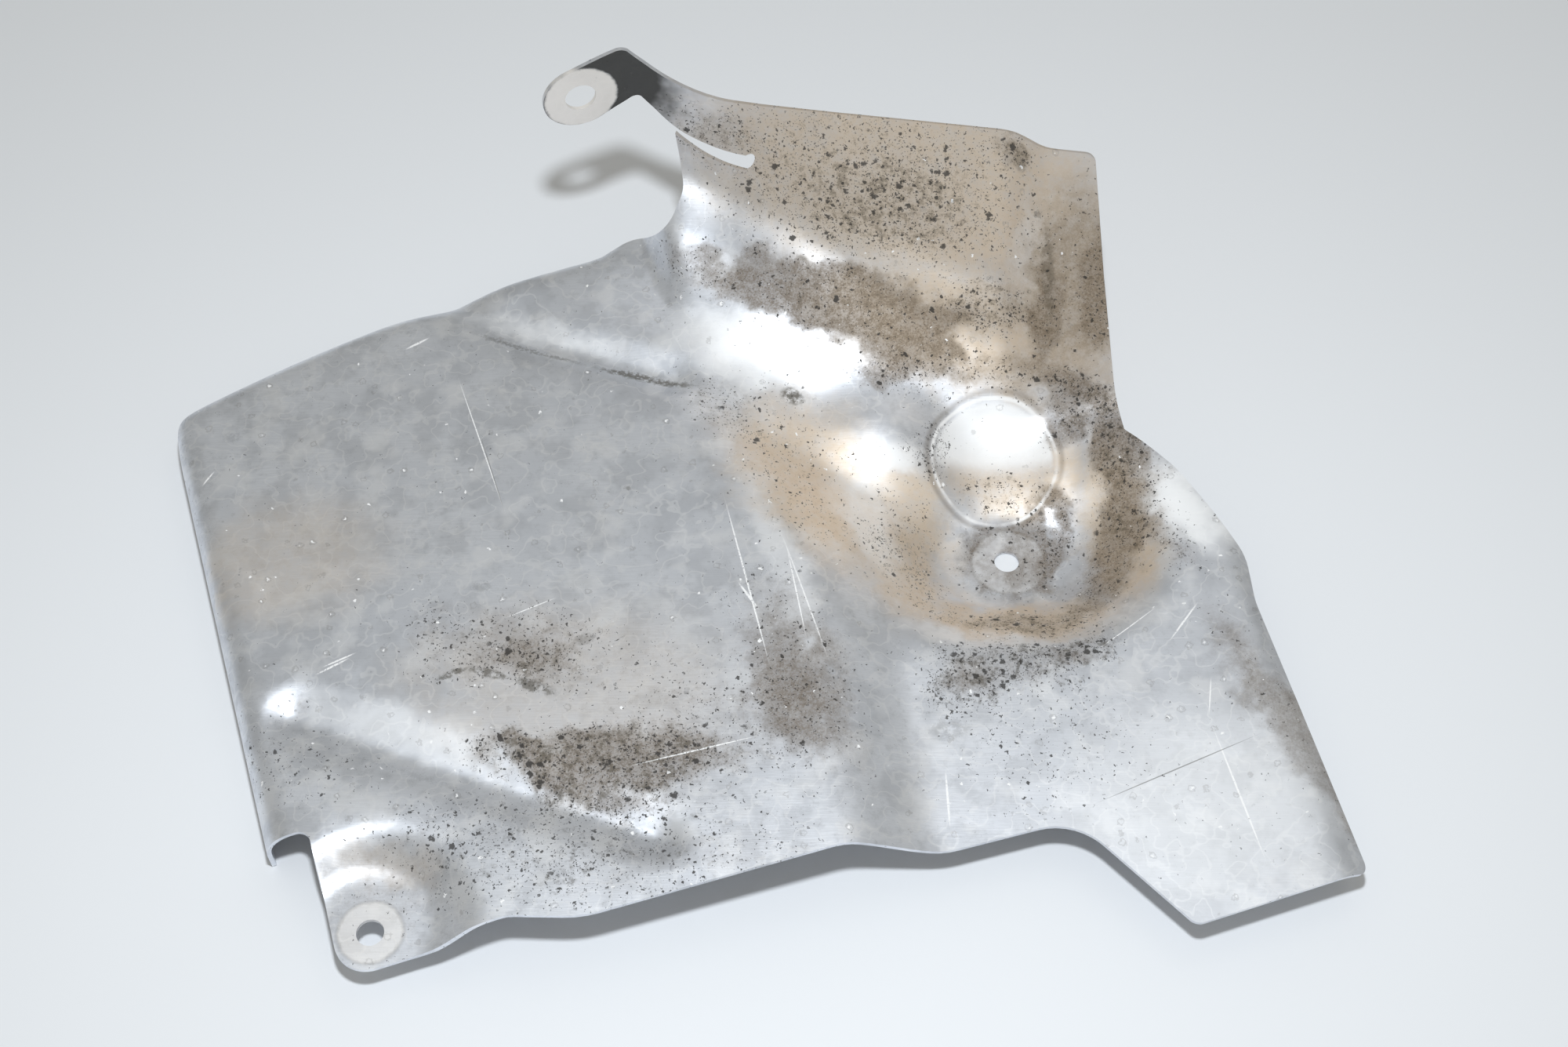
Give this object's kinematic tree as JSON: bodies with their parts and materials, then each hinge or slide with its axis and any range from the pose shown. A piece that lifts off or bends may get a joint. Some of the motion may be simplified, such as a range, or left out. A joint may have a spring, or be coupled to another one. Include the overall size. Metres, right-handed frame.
{
  "type": "heat shield",
  "caption": "Pressed aluminium sheet heat shield with turned-down flanges, stiffening grooves, a bolt dish and an upright wing with a strap and lug.",
  "frame": {"origin": "centre of the bolt hole in the dish, on the face of the sheet that seats", "axes": "+Z along that hole, out of the dish; +X towards the short right plate; +Y towards the upright wing"},
  "size_m": [0.3231, 0.2392, 0.0902],
  "materials": {
    "sheet": "satin, heat-tinted and sooted"
  },
  "bodies": {
    "root": {"heat_shield": "sheet"}
  },
  "joints": []
}
